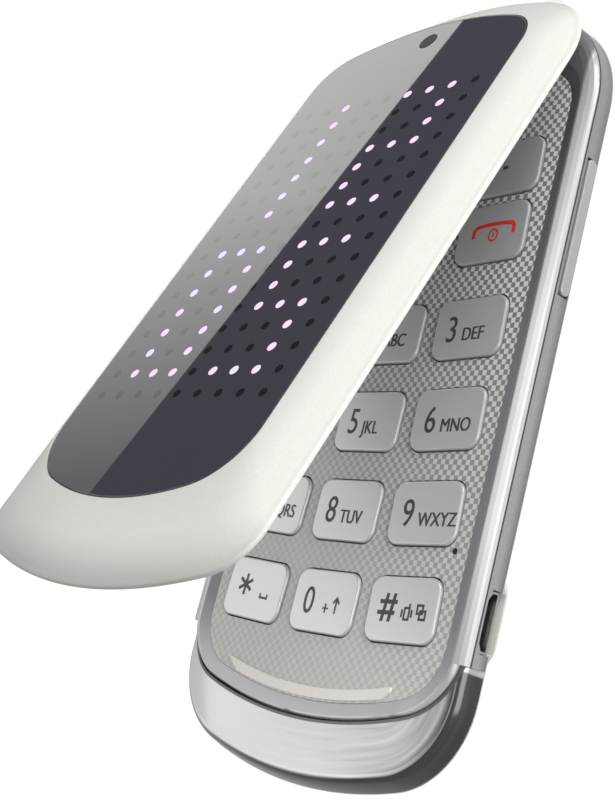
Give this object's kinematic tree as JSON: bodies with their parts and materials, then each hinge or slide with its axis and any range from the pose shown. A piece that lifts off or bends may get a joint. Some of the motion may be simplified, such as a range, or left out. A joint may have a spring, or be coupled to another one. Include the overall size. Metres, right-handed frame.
{
  "type": "flip phone",
  "caption": "Clamshell mobile phone lying on its back with the lid part open: keypad with navigation ring, smoked lid window with a dot-matrix clock, clear chin cap.",
  "frame": {"origin": "middle of the closed footprint, on the flat back of the battery cover", "axes": "+X to the user's right, +Y from the chin to the hinge, +Z out of the keypad"},
  "size_m": [0.0523, 0.1075, 0.0468],
  "materials": {
    "bezel": "metallic silver paint, satin",
    "black": "moulded black",
    "board": "solder mask",
    "bright_trim": "bright plated edge",
    "cell": "label wrap",
    "clear_cap": "clear, smoked toward the side",
    "dome": "film over snap domes",
    "flex": "amber polyimide",
    "gold": "gold plate",
    "key": "satin silver paint, printed",
    "lamp": "lamp",
    "lens": "black masked window",
    "magnet": "nickel plate",
    "mat": "translucent silicone",
    "pearl": "pearl white paint",
    "plate": "silver plate with fine checks",
    "reflector": "bright stepped insert",
    "shield": "thin pressed can",
    "silver_plastic": "metallic silver paint, satin",
    "steel": "tinned",
    "warm_silver": "warm pearl",
    "window": "mirror black window"
  },
  "bodies": {
    "base": {"rear_housing": "silver_plastic", "front_bezel": "bezel", "keypad_plate": "plate", "plate_strip": "warm_silver", "chin_trim": "bright_trim", "chin_lens": "clear_cap", "chin_reflector": "reflector", "main_board": "board", "dome_sheet": "dome", "keymat": "mat", "board_shields": "shield", "battery": "cell", "battery_contacts": "gold", "sim_holder": "steel", "usb_socket": "steel", "headset_jack": "black", "microphone": "shield", "loudspeaker": "black", "antenna": "flex", "vibration_motor": "shield", "volume_switch": "black", "base_screws": "steel", "hinge_module": "steel", "hinge_pin": "steel", "hinge_flex": "flex", "rear_end_cap": "pearl"},
    "lid": {"lid_outer_shell": "pearl", "lid_window": "window", "led_board": "board", "led_array": "lamp", "camera_module": "black", "lid_inner_cover": "silver_plastic", "display_lens": "lens", "display_panel": "black", "earpiece": "shield", "lid_magnet": "magnet", "lid_bumpers": "mat", "lid_screws": "steel"},
    "battery_cover": {"battery_cover": "pearl"},
    "volume_key": {"volume_key": "key"},
    "vibration_weight": {"vibration_weight": "magnet"},
    "nav_rocker": {"nav_rocker": "black"},
    "nav_ring": {"nav_ring": "key"},
    "select_key": {"select_key": "key"},
    "key_1": {"key_1": "key"},
    "key_2": {"key_2": "key"},
    "key_3": {"key_3": "key"},
    "key_4": {"key_4": "key"},
    "key_5": {"key_5": "key"},
    "key_6": {"key_6": "key"},
    "key_7": {"key_7": "key"},
    "key_8": {"key_8": "key"},
    "key_9": {"key_9": "key"},
    "key_star": {"key_star": "key"},
    "key_0": {"key_0": "key"},
    "key_hash": {"key_hash": "key"},
    "send_key": {"send_key": "key"},
    "end_key": {"end_key": "key"},
    "soft_key_left": {"soft_key_left": "key"},
    "soft_key_right": {"soft_key_right": "key"}
  },
  "joints": [
    {"name": "lid_hinge", "type": "hinge", "parent": "base", "child": "lid", "pos_m": [0, 0.05025, 0.00645], "axis": [-1, 0, 0], "range_deg": [-22, 126]},
    {"name": "cover_slide", "type": "slide", "parent": "base", "child": "battery_cover", "axis": [0, -1, 0], "range_m": [0, 0.01]},
    {"name": "volume_rock", "type": "hinge", "parent": "base", "child": "volume_key", "pos_m": [0.0243, 0.01915, 0.0073], "axis": [0, 0, 1], "range_deg": [-1.5, 1.5], "stiffness_Nm_per_rad": 0.02},
    {"name": "weight_spin", "type": "hinge", "parent": "base", "child": "vibration_weight", "pos_m": [0.0125, -0.036, 0.00375], "axis": [1, 0, 0], "continuous": true},
    {"name": "nav_tilt_x", "type": "hinge", "parent": "base", "child": "nav_rocker", "pos_m": [0, 0.023, 0.0072], "axis": [1, 0, 0], "range_deg": [-1.4, 1.4], "stiffness_Nm_per_rad": 0.02},
    {"name": "nav_tilt_y", "type": "hinge", "parent": "nav_rocker", "child": "nav_ring", "pos_m": [0, 0.023, 0.00845], "axis": [0, 1, 0], "range_deg": [-1.4, 1.4], "stiffness_Nm_per_rad": 0.02},
    {"name": "select_key_press", "type": "slide", "parent": "base", "child": "select_key", "axis": [0, 0, -1], "range_m": [0, 0.0003], "stiffness_N_per_m": 300, "springref_m": -0.0003},
    {"name": "key_1_press", "type": "slide", "parent": "base", "child": "key_1", "axis": [0, 0, -1], "range_m": [0, 0.0003], "stiffness_N_per_m": 300, "springref_m": -0.0003},
    {"name": "key_2_press", "type": "slide", "parent": "base", "child": "key_2", "axis": [0, 0, -1], "range_m": [0, 0.0003], "stiffness_N_per_m": 300, "springref_m": -0.0003},
    {"name": "key_3_press", "type": "slide", "parent": "base", "child": "key_3", "axis": [0, 0, -1], "range_m": [0, 0.0003], "stiffness_N_per_m": 300, "springref_m": -0.0003},
    {"name": "key_4_press", "type": "slide", "parent": "base", "child": "key_4", "axis": [0, 0, -1], "range_m": [0, 0.0003], "stiffness_N_per_m": 300, "springref_m": -0.0003},
    {"name": "key_5_press", "type": "slide", "parent": "base", "child": "key_5", "axis": [0, 0, -1], "range_m": [0, 0.0003], "stiffness_N_per_m": 300, "springref_m": -0.0003},
    {"name": "key_6_press", "type": "slide", "parent": "base", "child": "key_6", "axis": [0, 0, -1], "range_m": [0, 0.0003], "stiffness_N_per_m": 300, "springref_m": -0.0003},
    {"name": "key_7_press", "type": "slide", "parent": "base", "child": "key_7", "axis": [0, 0, -1], "range_m": [0, 0.0003], "stiffness_N_per_m": 300, "springref_m": -0.0003},
    {"name": "key_8_press", "type": "slide", "parent": "base", "child": "key_8", "axis": [0, 0, -1], "range_m": [0, 0.0003], "stiffness_N_per_m": 300, "springref_m": -0.0003},
    {"name": "key_9_press", "type": "slide", "parent": "base", "child": "key_9", "axis": [0, 0, -1], "range_m": [0, 0.0003], "stiffness_N_per_m": 300, "springref_m": -0.0003},
    {"name": "key_star_press", "type": "slide", "parent": "base", "child": "key_star", "axis": [0, 0, -1], "range_m": [0, 0.0003], "stiffness_N_per_m": 300, "springref_m": -0.0003},
    {"name": "key_0_press", "type": "slide", "parent": "base", "child": "key_0", "axis": [0, 0, -1], "range_m": [0, 0.0003], "stiffness_N_per_m": 300, "springref_m": -0.0003},
    {"name": "key_hash_press", "type": "slide", "parent": "base", "child": "key_hash", "axis": [0, 0, -1], "range_m": [0, 0.0003], "stiffness_N_per_m": 300, "springref_m": -0.0003},
    {"name": "send_key_press", "type": "slide", "parent": "base", "child": "send_key", "axis": [0, 0, -1], "range_m": [0, 0.0003], "stiffness_N_per_m": 300, "springref_m": -0.0003},
    {"name": "end_key_press", "type": "slide", "parent": "base", "child": "end_key", "axis": [0, 0, -1], "range_m": [0, 0.0003], "stiffness_N_per_m": 300, "springref_m": -0.0003},
    {"name": "soft_key_left_press", "type": "slide", "parent": "base", "child": "soft_key_left", "axis": [0, 0, -1], "range_m": [0, 0.0003], "stiffness_N_per_m": 300, "springref_m": -0.0003},
    {"name": "soft_key_right_press", "type": "slide", "parent": "base", "child": "soft_key_right", "axis": [0, 0, -1], "range_m": [0, 0.0003], "stiffness_N_per_m": 300, "springref_m": -0.0003}
  ]
}
